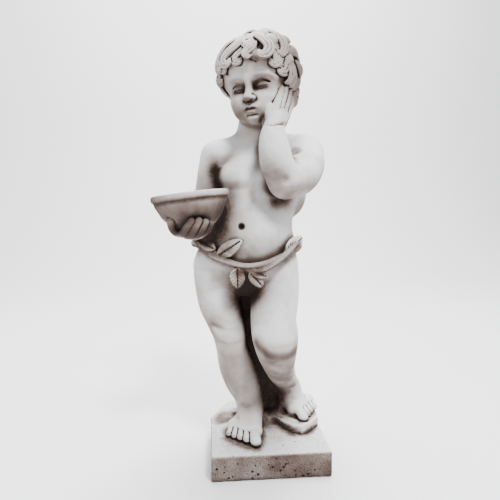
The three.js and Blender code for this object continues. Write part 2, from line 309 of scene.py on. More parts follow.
def turned(x=0, y=0, z=0):
    """A frame turned about X, then Y, then Z, in degrees; its columns are the turned axes."""
    a, b, c = np.radians([x, y, z])
    rx = np.array([[1, 0, 0], [0, math.cos(a), -math.sin(a)], [0, math.sin(a), math.cos(a)]])
    ry = np.array([[math.cos(b), 0, math.sin(b)], [0, 1, 0], [-math.sin(b), 0, math.cos(b)]])
    rz = np.array([[math.cos(c), -math.sin(c), 0], [math.sin(c), math.cos(c), 0], [0, 0, 1]])
    return rz @ ry @ rx


class Local:
    """Makes shapes in the head's own frame."""

    def __init__(self, centre, frame):
        self.c, self.f = np.array(centre, float), frame

    def at(self, p):
        return self.c + self.f @ np.array(p[:3], float)

    def way(self, v):
        return self.f @ np.array(v, float)

    def ball(self, centre, radii):
        return Ball(self.at(centre), radii, self.f)

    def tube(self, stations, per_span=4):
        return Tube([[*self.at(s), s[3]] for s in stations], per_span)


# ---- the surface ----


def surface(clay):
    """The zero surface as (vertices, quads), one vertex in each cell that it passes through."""
    f = clay.field
    inside = f < 0
    n = np.array(f.shape) - 1
    count = np.zeros(n, np.int8)
    for i, j, k in CORNERS:
        count += inside[i : n[0] + i, j : n[1] + j, k : n[2] + k]
    cells = np.argwhere((count > 0) & (count < 8)).astype(np.int32)
    number = np.full(n, -1, np.int32)
    number[tuple(cells.T)] = np.arange(len(cells), dtype=np.int32)
    value = {c: f[tuple((cells + c).T)] for c in CORNERS}
    total = np.zeros((len(cells), 3), np.float32)
    hits = np.zeros(len(cells), np.float32)
    for axis in range(3):
        for c in CORNERS:
            if c[axis]:
                continue
            d = list(c)
            d[axis] = 1
            a, b = value[c], value[tuple(d)]
            crossed = (a < 0) != (b < 0)
            t = np.where(crossed, a / np.where(crossed, a - b, 1), 0)
            place = np.tile(np.array(c, np.float32), (len(cells), 1))
            place[:, axis] = t
            total += place * crossed[:, None]
            hits += crossed
    vertices = clay.low + clay.step * (cells + total / hits[:, None])
    quads = []
    for axis in range(3):
        u, v = (axis + 1) % 3, (axis + 2) % 3
        edges = np.argwhere(inside[along(axis, slice(1, None))] != inside[along(axis, slice(None, -1))])
        ok = (edges[:, u] > 0) & (edges[:, v] > 0) & (edges[:, u] < n[u]) & (edges[:, v] < n[v])
        edges = edges[ok]
        filled = inside[tuple(edges.T)]
        ring = []
        for du, dv in ((0, 0), (-1, 0), (-1, -1), (0, -1)):
            cell = edges.copy()
            cell[:, u] += du
            cell[:, v] += dv
            ring.append(number[tuple(cell.T)])
        quad = np.stack(ring, -1)
        quad[~filled] = quad[~filled][:, ::-1]
        quads.append(quad)
    return vertices, np.vstack(quads)


def sample(low, step, field, points):
    """The field at the points, by trilinear interpolation."""
    q = (points - low) / step
    base = np.clip(np.floor(q).astype(int), 0, np.array(field.shape) - 2)
    t = np.clip(q - base, 0, 1)
    share = (1 - t, t)
    out = 0
    for i, j, k in CORNERS:
        w = share[i][:, 0] * share[j][:, 1] * share[k][:, 2]
        out = out + w * field[base[:, 0] + i, base[:, 1] + j, base[:, 2] + k]
    return out


def blurred_fill(clay, radius, coarse):
    """How full of stone the neighbourhood of each coarse cell is, from 0 to 1, as sample() takes it."""
    step = clay.step * coarse
    fill = single(np.clip(0.5 - clay.field[::coarse, ::coarse, ::coarse] / step, 0, 1))
    half = max(int(round(radius / step / 1.7)), 1)
    width = 2 * half + 1
    for _ in range(2):
        for axis in range(3):
            pad = [(0, 0)] * 3
            pad[axis] = (half + 1, half)
            total = np.cumsum(np.pad(fill, pad), axis, dtype=np.float32)
            fill = (total[along(axis, slice(width, None))] - total[along(axis, slice(None, -width))]) / width
    return clay.low, step, fill


SEED = 20


def both_sides(half):
    """A path given from one side to its middle point, carried on across to the other side."""
    return half + [(-x, *rest) for x, *rest in half[-2::-1]]


class Leaf:
    """An almond leaf from stem to tip, width wide, facing outward, with a midrib and side veins."""

    def __init__(self, stem, tip, width, outward, curl=0.0):
        a, b = np.array(stem, float), np.array(tip, float)
        self.o, self.length, self.width, self.curl = a, np.linalg.norm(b - a), width, curl
        way = (b - a) / self.length
        side = np.cross(way, np.array(outward, float))
        side /= np.linalg.norm(side)
        self.f = np.stack([way, side, np.cross(side, way)], 1)

    def bounds(self):
        l, w = self.length, self.width / 2
        return box_corners((-2, l + 2), (-w, w), (-8, 8), self.o, self.f)

    def distance(self, grid):
        q = into(grid, self.o, self.f)
        s, w, n = q[..., 0] / self.length, q[..., 1], q[..., 2]
        t = np.clip(s, 0, 1)
        teeth = 1 - 0.05 * np.abs(np.sin(t * 16))
        half = self.width / 2 * np.maximum(np.sin(np.pi * t**0.85), 0) ** 0.6 * teeth + 0.4
        edge = np.clip(np.abs(w) / half, 0, 1)
        n = n - self.curl * (1 - np.cos(np.pi * t)) - 1.2 * edge * edge
        rib = 2.4 * np.exp(-np.square(w / 1.4))
        vein = 0.8 * np.exp(-np.square((np.mod(s * self.length - 0.9 * np.abs(w), 6.0) - 3.0) / 1.1))
        flat = np.abs(n) - (4.0 - 2.0 * edge * edge) + np.where(n > 0, rib + vein * (edge < 0.85), 0)
        out = np.hypot(np.maximum(np.abs(w) - half, 0), np.maximum(np.abs(s - 0.5) - 0.5, 0) * self.length)
        return np.hypot(out, np.maximum(flat, 0)) + np.minimum(flat, 0) * (out <= 0)


class Rough:
    """Smooth noise in three dimensions, from -1 to 1, with a grain size in millimetres."""

    def __init__(self, seed, grain):
        self.v = single(np.random.default_rng(seed).uniform(-1, 1, (32, 32, 32)))
        self.grain = grain

    def __call__(self, grid):
        q = grid / self.grain
        base = np.floor(q).astype(int)
        t = single(q - base)
        t = t * t * (3 - 2 * t)
        share = (1 - t, t)
        cell = (base % 32, (base % 32 + 1) % 32)
        out = 0
        for i, j, k in CORNERS:
            w = share[i][..., 0] * share[j][..., 1] * share[k][..., 2]
            out = out + w * self.v[cell[i][..., 0], cell[j][..., 1], cell[k][..., 2]]
        return out


class Roughened:
    """A shape with its surface broken up by noise."""

    def __init__(self, shape, depth, *noises):
        self.shape, self.depth, self.noises = shape, depth, noises

    def bounds(self):
        low, high = self.shape.bounds()
        return low - self.depth, high + self.depth

    def distance(self, grid):
        relief = sum(n(grid) / (i + 1) for i, n in enumerate(self.noises))
        return self.shape.distance(grid) + self.depth * relief


# ---- head ----
HEAD = Local((-9.5, -17, 673), turned(11, -4, -29))


def head_mass(clay):
    h = HEAD
    clay.add(h.ball((0, 6, 14), (60, 69, 60)), 6)
    clay.add(h.ball((0, -16, -17), (45, 48, 48)), 14)
    clay.add(h.ball((0, -34, 24), (42, 29, 32)), 14)
    clay.add(h.ball((0, -30, -46), (36, 31, 22)), 12)
    for s in (-1, 1):
        clay.add(h.ball((s * 23, -40, -33), (20.5, 21.5, 19)), 16)
        clay.add(h.ball((s * 14, -48, -46), (14, 13, 12)), 10)
        clay.add(h.ball((s * 19, -43, -50), (15, 15, 12)), 14)
    clay.add(h.ball((0, -56, -62), (11, 10, 8.5)), 9)
    clay.add(h.ball((0, -30, -63), (20, 20, 9)), 10)


def face(clay):
    h = HEAD
    # Eye sockets, eyeballs and lids; the upper lids rest half lowered.
    for s in (-1, 1):
        clay.cut(h.ball((s * 20.5, -69, -12.5), (15.5, 13.5, 10)), 8)
        clay.cut(h.ball((s * 10.5, -61, -12), (5, 6.5, 6.5)), 6)
        eye, radii = (s * 20.5, -46.5, -15.5), np.array((11.8, 11.2, 10.2))
        clay.add(h.ball(eye, radii), 1)
        upper = Clipped(h.ball(eye, radii + 2.5), h.at((s * 20.5, -58, -13.6)), h.way((s * 0.12, -0.30, -1)))
        lower = Clipped(h.ball(eye, radii + 1.6), h.at((s * 20.5, -58, -19.5)), h.way((0, 0.1, 1)))
        clay.add(upper, 1.0)
        clay.add(lower, 1.2)
        clay.press(h.ball((s * 19.5, -58.5, -17), (2.2, 1, 1.6)), 1.6, 1.6)
        fold = [(10, -54, -9), (16, -59, -6), (24, -58, -5.5), (33, -49, -11)]
        clay.press(h.tube([(s * x, y, z, 0.4) for x, y, z in fold]), 2.2, 1.8)
        brow = [(8, -58.5, 0, 2), (19, -60.5, 4, 2.2), (32, -52.5, 2.5, 2.2), (40, -42, -4, 2)]
        clay.add(h.tube([(s * x, *rest) for x, *rest in brow]), 9)
    # Nose: bridge, round tip, wings and nostrils.
    clay.add(h.tube([(0, -59.5, 1, 4.6), (0, -61, -12, 4.3), (0, -67.5, -22, 5.0), (0, -73, -29, 6.0)]), 7)
    clay.add(h.ball((0, -73, -29.5), (6.6, 6.2, 5.6)), 3)
    for s in (-1, 1):
        clay.add(h.ball((s * 6.8, -67, -31.5), (4.2, 5.6, 4.2)), 3)
        clay.press(h.tube([(s * 11.2, -62, -29, 0.3), (s * 12, -61, -34, 0.3)]), 0.4, 1.8)
        clay.cut(h.ball((s * 3.9, -71, -35.6), (2.2, 3.2, 2.3)), 1.0)
    # Mouth: small and full, with a bow to the upper lip, the lips just touching.
    clay.add(h.ball((0, -56.5, -46), (14, 10, 11)), 8)
    upper = [(-11.5, -60, -48.6, 0.8), (-7.5, -64.5, -45.8, 2.2), (-3.2, -67.6, -43.6, 2.7),
             (0, -68, -44.6, 2.4)]
    clay.add(h.tube(both_sides(upper)), 4)
    lower = [(-8.5, -62, -50.8, 1.2), (-4, -65.4, -51.8, 3.4), (0, -66.4, -52.0, 3.8)]
    clay.add(h.tube(both_sides(lower)), 4)
    parting = [(-12.5, -60.5, -49.6, 0.7), (-8, -65, -48.0, 0.9), (-3.5, -69.3, -47.4, 1.0),
               (0, -70, -48.2, 1.0)]
    clay.cut(h.tube(both_sides(parting)), 1.2)
    clay.press(h.tube([(0, -71, -37.5, 0.3), (0, -69.5, -41.5, 0.3)]), 1.2, 1.7)
    clay.press(h.tube([(-8, -62, -57.8, 0.3), (0, -65, -58.2, 0.3), (8, -62, -57.8, 0.3)]), 1.0, 3.2)
    for s in (-1, 1):
        clay.press(h.tube([(s * 14, -60, -49.5, 0.5), (s * 16, -57, -52, 0.5)]), 1.6, 2.4)
        cheek = [(s * 11, -62, -35, 0.3), (s * 17, -60, -41, 0.3), (s * 18, -57, -46, 0.3)]
        clay.press(h.tube(cheek), 0.8, 3.0)


SKULL, SKULL_CENTRE = np.array((67.0, 73.0, 62.0)), np.array((-4, 5, 13.0))
NAPE, NAPE_CENTRE = np.array((47.0, 40.0, 36.0)), np.array((7, 21, -24.0))
CROWN_LOCKS, NAPE_LOCKS = 210, 120


def curl(clay, spine, sides, radius, count):
    """One lock of hair: count strands, side by side along a bending spine, over a plain core."""
    last = len(spine) - 1
    swell = [0.45 + 0.55 * math.sin(math.pi * min(0.12 + 0.75 * i / last, 1)) for i in range(last + 1)]
    swell = [w * (1 - 0.55 * (i / last) ** 3) for i, w in enumerate(swell)]
    core = [[*(q - out * radius * 0.30 * w), radius * 0.62 * w]
            for q, (out, _), w in zip(spine, sides, swell)]
    clay.add(HEAD.tube(core, 1), 0.5)
    for j in range(count):
        offset = (j - (count - 1) / 2) / count
        path = []
        for q, (out, side), w in zip(spine, sides, swell):
            rise = 0.12 - 1.1 * offset * offset
            place = q + side * offset * radius * 1.9 * w + out * rise * radius * w
            path.append([*place, radius * 1.17 / count * w])
        clay.add(HEAD.tube(path, 1), 0.2)


def grown(clay, start, heading, length, bend, radius, lift, centre=SKULL_CENTRE, size=SKULL):
    """A comma-shaped lock that grows from the scalp at start and turns as it goes."""
    steps = 9
    p = start / np.linalg.norm(start / size)
    h = heading
    spine, sides = [], []
    for i in range(steps):
        n = p / size**2
        n /= np.linalg.norm(n)
        h = h - n * (h @ n)
        h /= np.linalg.norm(h)
        t = i / (steps - 1)
        spine.append(centre + p + n * lift * math.sin(math.pi * min(t * 1.15, 1)) * (1 - 0.4 * t))
        sides.append((n, np.cross(n, h)))
        angle = bend * (0.5 + 1.1 * t) / steps
        h = h * math.cos(angle) + np.cross(n, h) * math.sin(angle)
        p = p + h * (length / steps)
        p = p / np.linalg.norm(p / size)
    curl(clay, spine, sides, radius, 4 if radius < 9.5 else 5)


def laid(clay, points, radius, count=4, lift=0.0):
    """A lock laid along chosen points in the head's frame, held close to the scalp."""
    spine, sides = [], []
    for p in curve(points, 4):
        p = p - SKULL_CENTRE
        out = p / SKULL**2
        out /= np.linalg.norm(out)
        on = p / np.linalg.norm(p / SKULL)
        spine.append(SKULL_CENTRE + on + out * (np.clip((p - on) @ out, 0, 6.5) + lift))
        sides.append(out)
    spine = np.array(spine)
    ways = np.gradient(spine, axis=0)
    pairs = []
    for out, way in zip(sides, ways):
        side = np.cross(out, way)
        pairs.append((out, side / np.linalg.norm(side)))
    curl(clay, list(spine), pairs, radius, count)


def bare(d):
    """True where the face, the ears' fronts, the throat and the neck stay clear of hair."""
    front = -d[1]
    brow = front > 0.15 and d[2] < 0.42 + 0.35 * (front - 0.6) and abs(d[0]) < 0.93
    temple = d[2] > 0.2 and abs(d[0]) > 0.62
    if brow and not temple:
        return True
    if d[2] < -0.62 or (d[2] < -0.35 and d[1] < 0.45):
        return True
    return abs(d[0]) > 0.75 and d[2] < -0.25 and d[1] < 0.1


# The locks over the brow and temples: points in the head's frame, and how thick each lock is.
FRONT_LOCKS = [
    ([(-22, -18, 76), (-38, -18, 72), (-54, -22, 62), (-62, -32, 48), (-58, -42, 40), (-50, -46, 44)], 8),
    ([(-30, -38, 64), (-44, -42, 56), (-58, -42, 42), (-60, -42, 28), (-52, -52, 22), (-45, -58, 27)], 8),
    ([(-4, -46, 66), (-20, -54, 60), (-36, -56, 52), (-50, -54, 40), (-52, -54, 27), (-43, -60, 20),
      (-37, -64, 26)], 8.5),
    ([(0, -54, 61), (-14, -66, 53), (-30, -68, 47), (-40, -66, 38), (-36, -68, 28), (-27, -72, 28),
      (-25, -73, 35)], 8.5),
    ([(10, -54, 61), (3, -66, 53), (-8, -72, 46), (-18, -73, 38), (-16, -74, 29), (-7, -76, 28),
      (-5, -76, 34)], 7.5),
    ([(-10, -34, 74), (4, -44, 70), (20, -48, 65), (30, -54, 55), (27, -63, 46), (18, -67, 47)], 8.5),
    ([(14, -54, 60), (18, -65, 51), (12, -72, 43), (5, -75, 38), (8, -76, 31), (15, -74, 32)], 7),
    ([(20, -52, 60), (34, -56, 51), (42, -59, 40), (38, -64, 30), (29, -69, 29), (27, -69, 36)], 8.5),
    ([(6, -22, 79), (22, -28, 75), (38, -32, 66), (46, -40, 54), (43, -50, 45), (35, -55, 47)], 8.5),
    ([(36, -46, 54), (50, -46, 42), (56, -45, 28), (51, -51, 17), (43, -56, 17), (42, -57, 24)], 8),
    ([(30, -16, 75), (44, -20, 66), (56, -24, 54), (62, -32, 40), (58, -41, 30), (52, -46, 33)], 8.5),
    ([(52, -30, 46), (64, -30, 32), (66, -29, 16), (60, -34, 3), (52, -42, 3), (50, -44, 9)], 8.5),
    ([(58, -26, 20), (64, -24, 4), (60, -26, -10), (52, -32, -14)], 7.5),
    ([(-50, -34, 48), (-62, -36, 34), (-67, -30, 18), (-62, -34, 6), (-55, -42, 6)], 8),
    ([(-64, -24, 20), (-68, -20, 4), (-62, -20, -10), (-54, -28, -14)], 8),
]


def scattered(i, total):
    """The i-th of total directions spread evenly all round."""
    z = 1 - 2 * (i + 0.5) / total
    around = i * math.pi * (3 - math.sqrt(5))
    return np.array((math.sqrt(1 - z * z) * math.cos(around), math.sqrt(1 - z * z) * math.sin(around), z))


def hair(clay):
    rng = np.random.default_rng(SEED)
    clay.add(HEAD.ball(SKULL_CENTRE + (0, 4, 2), SKULL), 3)
    clay.add(HEAD.ball(NAPE_CENTRE, NAPE), 8)
    whorl = np.array((0.05, 0.62, 0.78))
    for i in range(CROWN_LOCKS):
        d = scattered(i, CROWN_LOCKS)
        d += rng.normal(0, 0.05, 3)
        d /= np.linalg.norm(d)
        heading, bend = rng.normal(0, 0.45, 3), rng.choice((-1, 1)) * rng.uniform(1.6, 4.4)
        length, radius, lift = rng.uniform(36, 54), rng.uniform(7.5, 11.5), rng.uniform(2, 9)
        if bare(d):
            continue
        away = d - whorl * (d @ whorl)
        away = away / (np.linalg.norm(away) + 1e-6) + 0.35 * np.array((0, 0, -1.0)) + heading
        grown(clay, d, away, length, bend, radius, lift)
    for i in range(NAPE_LOCKS):
        # The same over the nape, down to the collar.
        d = scattered(i, NAPE_LOCKS)
        heading, bend = rng.normal(0, 0.5, 3) + (0, 0, -1), rng.choice((-1, 1)) * rng.uniform(2, 5)
        length, radius, lift = rng.uniform(26, 38), rng.uniform(6.5, 9), rng.uniform(2, 5)
        if d[1] > -0.45 and -0.8 < d[2] < 0.45:
            grown(clay, d, heading, length, bend, radius, lift, NAPE_CENTRE, NAPE)
    for path, radius in FRONT_LOCKS:
        laid(clay, path, radius + 0.7, 3, rng.choice((-3.5, 1.0, 5.5)))


# ---- body ----
def torso(clay):
    clay.add(Stack([
        (296, -36, 6, 50, 34), (316, -36, 5, 76, 48), (338, -36, 2, 90, 56), (362, -35, 0, 92, 58),
        (390, -32, -3, 86, 58), (420, -25, -5, 73, 56), (450, -20, -4, 71, 54), (480, -18, -1, 74, 52),
        (508, -18, 1, 74, 49), (534, -18, 4, 68, 42), (556, -20, 5, 50, 34), (572, -22, 4, 34, 27),
    ]), 6)
    clay.add(Ball((-32, -22, 410), (56, 47, 50)), 22)
    clay.add(Ball((-52, -22, 505), (34, 28, 24)), 18)
    clay.add(Ball((16, -24, 507), (34, 28, 24)), 18)
    clay.add(Ball((-78, 22, 338), (44, 42, 44)), 14)
    clay.add(Ball((8, 22, 340), (46, 42, 44)), 14)
    clay.add(Ball((50, 14, 486), (28, 30, 48)), 16)
    clay.add(Tube([(-24, 6, 556, 32), (-22, -2, 584, 30), (-16, -8, 616, 31)]), 12)
    shoulders = [(-90, 2, 546, 24), (-56, 6, 560, 22), (-20, 6, 568, 20), (30, 6, 566, 23), (72, 0, 552, 30)]
    clay.add(Tube(shoulders), 14)


def legs(clay):
    clay.add(Tube([
        (-85, 2, 345, 47), (-88, 0, 312, 41), (-84, -4, 280, 38), (-75, -9, 250, 33), (-68, -13, 226, 29.5),
        (-63, -8, 196, 28), (-54, 3, 164, 33), (-43, 7, 132, 33), (-33, 7, 106, 28), (-27, 6, 80, 24),
    ]), 12)
    clay.add(Tube([
        (14, -4, 345, 46), (18, -14, 312, 42), (13, -30, 284, 42), (9, -47, 256, 40), (11, -57, 231, 40),
        (15, -48, 204, 36), (21, -30, 176, 30), (30, -6, 148, 26), (41, 16, 124, 23), (50, 33, 103, 22),
    ]), 12)


def foot(clay, ankle, heel, roots, tips, floor):
    """A foot on the level floor; roots and tips are where the big toe and the little toe begin and end."""
    big, small = (np.array((*p, floor + 13.0)) for p in roots)
    far, near = (np.array((*p, float(floor))) for p in tips)
    middle = big * 0.6 + small * 0.4
    clay.add(Tube([(*heel, floor + 19, 21), (*big[:2], floor + 14, 14)]), 8)
    clay.add(Tube([(*heel, floor + 16, 18), (*small[:2], floor + 11, 11.5)]), 8)
    clay.add(Tube([(*ankle, 22), ((ankle[0] + middle[0]) / 2, (ankle[1] + middle[1]) / 2, floor + 27, 19),
                   (*middle[:2], floor + 14, 13)]), 10)
    clay.add(Tube([(*big, 13.5), (*small[:2], floor + 11, 11)]), 6)
    forward = (far + near - big - small) / 2
    forward[2] = 0
    forward /= np.linalg.norm(forward)
    for i, share in enumerate((0, 0.31, 0.55, 0.78, 1)):
        r = (9.3, 7.3, 6.9, 6.4, 5.8)[i]
        a = big + (small - big) * share
        b = far + (near - far) * share
        knuckle = a * 0.35 + b * 0.65
        clay.add(Tube([(*a[:2], floor + 13, r + 1), (*knuckle[:2], floor + r + 4.5, r - 0.4),
                       (*b[:2], floor + r - 0.3, r)], 3), 1.0)
        nail = b + forward * (r * 0.45) + (0, 0, r * 1.35)
        clay.press(Ball(nail, (r * 0.5, r * 0.5, 1.2)), 0.9, 1.0)


def feet(clay):
    foot(clay, (-27, 6, 82), (-23, 18), [(-26, -52), (-60, -26)], [(-25, -80), (-69, -43)], 44)
    foot(clay, (50, 33, 103), (42, 54), [(59, 2), (92, 43)], [(69, -23), (102, 27)], 57)


def arms(clay):
    clay.add(Tube([
        (-88, 0, 548, 25), (-97, 2, 526, 23.5), (-103, 7, 496, 22.5), (-108, 13, 468, 22),
        (-110, 16, 446, 22), (-114, -8, 438, 21.5), (-120, -32, 431, 20), (-125, -54, 425, 17),
    ]), 10)
    clay.add(Tube([(72, -2, 552, 32), (66, -26, 529, 35), (50, -54, 508, 34), (24, -76, 496, 29)]), 12)
    clay.add(Tube([
        (24, -76, 498, 28), (10, -84, 520, 27.5), (4, -86, 546, 25.5), (2, -83, 566, 21.5),
        (4, -79, 582, 17.5), (8, -75, 594, 16.5),
    ]), 6)


def hands(clay):
    # The right hand cups the bowl from below.
    clay.add(Ball((-131, -76, 414), (24, 30, 13), turned(4, 8, 0)), 8)
    fingers = [
        [(-145, -90, 415, 8.5), (-141, -112, 414, 6.8), (-135, -125, 422, 6.4), (-128, -132, 432, 5.6)],
        [(-137, -92, 411, 9), (-131, -114, 411, 6.8), (-124, -127, 421, 6.4), (-117, -133, 433, 5.6)],
        [(-128, -92, 410, 9), (-120, -112, 411, 6.6), (-113, -124, 420, 6.2), (-107, -130, 431, 5.4)],
        [(-119, -88, 412, 8), (-111, -106, 413, 6), (-105, -116, 419, 5.7), (-99, -122, 428, 5.0)],
    ]
    for path in fingers:
        clay.add(Tube(path), 1.6)
    thumb = [(-138, -66, 417, 13), (-151, -86, 414, 9), (-158, -104, 420, 7.4), (-161, -117, 431, 6.2)]
    clay.add(Tube(thumb), 3)
    # The left hand holds the cheek, fingers spread up to the temple.
    clay.add(Ball((14, -70, 602), (17.5, 12, 19), turned(-8, 12, 28)), 7)
    for path in [
        [(6, -76, 610, 7.6), (10, -75, 625, 6.8), (15, -70, 639, 6.2), (18, -63, 650, 5.2)],
        [(13, -72, 612, 7.6), (18, -70, 628, 6.8), (23, -64, 642, 6.2), (26, -57, 653, 5.2)],
        [(20, -67, 610, 7.6), (26, -63, 625, 6.7), (31, -56, 639, 6.1), (34, -49, 650, 5.0)],
        [(26, -61, 604, 7.4), (32, -55, 617, 6.3), (37, -48, 629, 5.7), (40, -41, 639, 4.7)],
    ]:
        clay.add(Tube(path), 1.0)
    clay.add(Tube([(3, -72, 592, 11), (-2, -74, 604, 8), (-1, -74, 616, 6.8)]), 3)
    clay.add(Ball((2, -63, 600), (12, 10, 18)), 6)
    clay.add(Ball((-3, -60, 592), (10, 10, 15)), 6)


def webs(clay):
    """The stone left between the bowl, the forearm and the hip, under the right arm and under the chin."""
    clay.add(Ball((-106, -22, 420), (24, 46, 30)), 10)
    clay.add(Ball((-98, -20, 402), (20, 34, 24)), 12)
    clay.add(Ball((-88, 10, 486), (20, 24, 46)), 10)
    clay.add(Ball((-94, -46, 450), (20, 30, 26)), 10)
    clay.add(Ball((8, -48, 548), (22, 24, 40)), 12)


# Lines pressed in under the breast, round the left wrist, above and under the knees and at the ankles: the
# points, how deep and how wide.
FOLDS = [
    ([(-78, -34, 490), (-60, -48, 482), (-40, -50, 486)], 0.9, 7.0),
    ([(-12, -48, 488), (6, -46, 484)], 1.5, 7.0),
    ([(-24, -44, 520), (-28, -52, 480), (-34, -58, 450)], 1.5, 8.0),
    ([(-18, -86, 585), (0, -97, 583), (18, -88, 586)], 2.2, 2.5),
    ([(-96, -34, 244), (-74, -45, 236), (-50, -36, 238)], 2.0, 5.0),
    ([(-86, -32, 212), (-68, -43, 208), (-48, -34, 212)], 1.8, 5.0),
    ([(-24, -80, 244), (-20, -90, 226), (-14, -84, 208)], 1.8, 6.0),
    ([(36, -84, 246), (42, -86, 226), (38, -80, 208)], 1.6, 6.0),
    ([(-50, -16, 92), (-34, -22, 88), (-14, -16, 92)], 1.0, 5.0),
    ([(42, -2, 116), (58, 2, 112), (70, 12, 114)], 1.8, 3.5),
]


def creases(clay):
    """Navel, folds and dimples of a plump child."""
    clay.press(Tube([(-48, -74, 421, 1), (-48, -62, 421, 1)]), 9, 4.0)
    for points, depth, width in FOLDS:
        clay.press(Tube([(*p, 0.5) for p in points]), depth, width)
    clay.press(Ball((45, -50, 550), (3, 6, 3)), 8.0, 5.5)
    clay.press(Ball((42, -86, 500), (2, 2, 2)), 2.0, 5.0)
    clay.press(Ball((20, -104, 496), (2, 2, 2)), 1.5, 5.0)


# The middle of the bowl's mouth, and how far the bowl leans.
BOWL, LEAN = (-133, -84, 476), turned(0, -7, 0)


def bowl(clay, hollow):
    """The bowl's outside, or the hollow that is cut out of everything at the end."""
    inside = [(0, -37), (24, -35), (40, -27), (50, -15), (55, -2), (56.5, 12), (0, 12)]
    outside = [(0, -61), (20, -60), (36, -51), (49, -36), (58, -17), (59.5, -11), (62, -9.5), (63, -5),
               (62, -0.5), (60, 0), (0, 0)]
    if hollow:
        clay.cut(Turned(BOWL, inside, LEAN), 1.5)
    else:
        clay.add(Turned(BOWL, outside, LEAN), 1.0)


VINE = [(-127, 2, 390), (-113, -32, 385), (-92, -53, 372), (-64, -66, 360), (-37, -70, 352), (-12, -69, 354),
        (14, -62, 366), (38, -46, 380), (58, -10, 389), (50, 32, 386), (14, 58, 378), (-36, 66, 374),
        (-86, 58, 378), (-120, 34, 386), (-127, 2, 390)]


def vine(clay):
    ring = curve([(*p, 0) for p in [VINE[-2], *VINE, VINE[1]]], 6)[6:-6, :3]
    for phase in (0, 0.5):
        path = []
        for i, p in enumerate(ring):
            t = i / (len(ring) - 1)
            out = np.array((p[0] + 35, p[1], 0))
            out /= np.linalg.norm(out)
            turn = 2 * math.pi * (2.3 * t + phase)
            apart = np.interp(t * 14, (0, 3, 4.5, 6, 7.5, 9, 14), (0.5, 0.5, 0.9, 1.1, 1.3, 0.9, 0.5))
            rise = (0, 0, 5.0 * apart * math.sin(turn))
            path.append((*(p + out * (2.0 + 2.6 * apart * math.cos(turn)) + rise), 5.6 - 0.3 * apart))
        for i in range(0, len(path) - 1, 6):
            clay.add(Tube(path[i : i + 7], 1), 0.8)
    clay.add(Tube([(-92, -53, 373, 3.5), (-99, -47, 386, 4), (-111, -34, 390, 4), (-122, -20, 390, 3)]), 1.0)
    for stem, tip, width, outward, curl in LEAVES:
        clay.add(Leaf(stem, tip, width, outward, curl), 0.8)


LEAVES = [
    ((-88, -60, 371), (-47, -72, 399), 25, (-0.3, -1, 0.1), 1.5),
    ((-93, -60, 383), (-119, -40, 399), 20, (-0.6, -0.8, 0.3), 3),
    ((-56, -73, 353), (-55, -66, 318), 25, (0, -1, 0.1), 1),
    ((-35, -74, 347), (-14, -66, 320), 20, (0.1, -1, 0), 1),
    ((-34, -74, 348), (-6, -68, 336), 15, (0.1, -1, 0.2), 2),
    ((28, -58, 376), (60, -20, 400), 27, (0.7, -0.7, 0.1), 2),
    ((30, 58, 384), (52, 46, 348), 30, (0.5, 0.8, 0), 1),
    ((-10, 72, 378), (-4, 68, 326), 38, (0, 1, 0), 1),
    ((-44, 75, 376), (-38, 73, 314), 42, (0, 1, 0), 1),
    ((-74, 71, 378), (-80, 69, 326), 38, (-0.1, 1, 0), 1),
    ((-102, 53, 384), (-122, 40, 348), 30, (-0.5, 0.8, 0), 1),
]


PLINTH = [(-101.5, -108.5), (101.5, -108.5), (101.5, 38), (66, 108.5), (-66, 108.5), (-101.5, 38)]
SLAB = [(-4, 92), (2, 34), (14, 10), (28, -16), (46, -40), (62, -47), (78, -38), (100, -12), (101, 34),
        (66, 100), (20, 104)]
BLOCK_TOP = 45
AIR_HOLES = 240


def ground(clay):
    fine, coarse = Rough(SEED, 8), Rough(SEED + 1, 24)
    clay.add(Roughened(Slab(PLINTH, 0, BLOCK_TOP, 4), 0.5, fine), 0)
    clay.add(Roughened(Slab(SLAB, 36, 58.5, 1.5, (0.02, -0.02)), 2.0, coarse, fine), 1.5)
    # The rock support behind the legs, its foot, and the rock between the legs.
    support = Tube([(14, 52, 40, 42), (12, 46, 90, 36), (2, 36, 150, 32), (-14, 28, 210, 30),
                    (-28, 20, 270, 28), (-34, 14, 320, 28)])
    between = Tube([(10, 20, 84, 20), (-2, 18, 130, 19), (-18, 12, 190, 19), (-30, 6, 250, 18)])
    clay.add(Roughened(support, 2.6, coarse, fine), 6)
    clay.add(Roughened(Ball((0, 40, 48), (54, 44, 22)), 2.6, coarse, fine), 6)
    clay.add(Roughened(between, 2.2, coarse, fine), 6)
    clay.press(Tube([(-90, 14, 46, 2), (-74, 26, 46, 5), (-58, 34, 46, 2)]), 5.0, 8.0)
    rim = Tube([(-96, 30, 43, 5), (-86, 44, 44, 6), (-68, 52, 44, 6), (-50, 54, 44, 5)])
    clay.add(Roughened(rim, 2.0, fine), 5)
    rng = np.random.default_rng(SEED + 2)
    for _ in range(AIR_HOLES):
        # Air holes in the sides of the block, thickest low down, and a few in its top.
        side, share = rng.integers(0, 5), rng.uniform(-1, 1)
        drop = BLOCK_TOP * rng.beta(1.0, 1.7)
        r = rng.uniform(0.7, 2.3) ** 1.2
        place = [(share * 98, -108.5, drop), (101.5, share * 70 - 34, drop), (-101.5, share * 70 - 34, drop),
                 (share * 62, 108.5, drop), (share * 96, rng.uniform(-104, 60), BLOCK_TOP)][side]
        if side == 4 and r > 1.6:
            continue
        clay.cut(Ball(place, (r, r, r * rng.uniform(0.6, 1.2))), 0.5)


def model(clay):
    legs(clay)
    torso(clay)
    webs(clay)
    arms(clay)
    head_mass(clay)
    smooth(clay, 3)
    ground(clay)
    feet(clay)
    creases(clay)
    face(clay)
    bowl(clay, False)
    hands(clay)
    hair(clay)
    vine(clay)
    bowl(clay, True)
